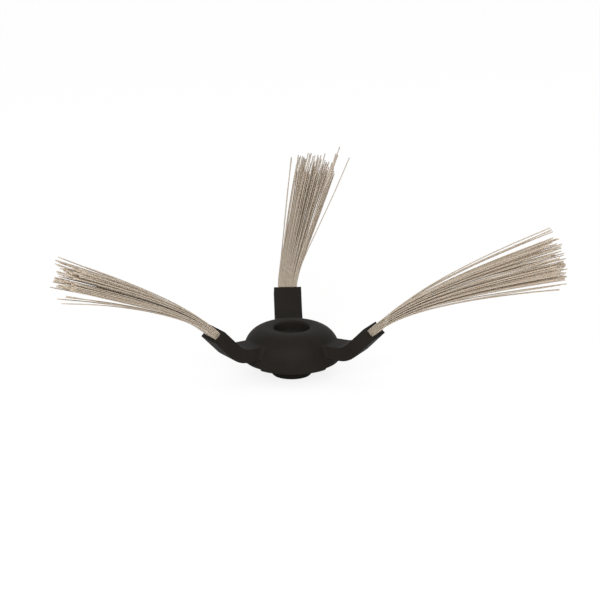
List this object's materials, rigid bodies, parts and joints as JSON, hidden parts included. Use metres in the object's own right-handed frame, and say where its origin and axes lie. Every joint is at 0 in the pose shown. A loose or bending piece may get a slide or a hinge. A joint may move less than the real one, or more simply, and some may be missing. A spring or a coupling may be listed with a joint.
{
  "type": "robot vacuum side brush",
  "caption": "Side brush for a robot vacuum: domed hub on a square drive socket with elbowed arms, each holding a flared tuft of stiff filaments that sweeps dust off the floor.",
  "frame": {"origin": "on the hub axis, in the end face of the drive boss, at the mouth of the drive socket", "axes": "+Z along the hub axis towards the floor side of the brush, which is up here; +Y along the back arm; +X to the right"},
  "size_m": [0.1368, 0.1299, 0.0497],
  "materials": {
    "hub_plastic": "black moulded plastic with a faint sheen",
    "bristle": "beige translucent nylon filament",
    "anchor_wire": "plain flat steel wire"
  },
  "bodies": {
    "root": {"hub": "hub_plastic", "tuft_back": "bristle", "tuft_left": "bristle", "tuft_right": "bristle", "anchor_back": "anchor_wire", "anchor_left": "anchor_wire", "anchor_right": "anchor_wire"}
  },
  "joints": []
}
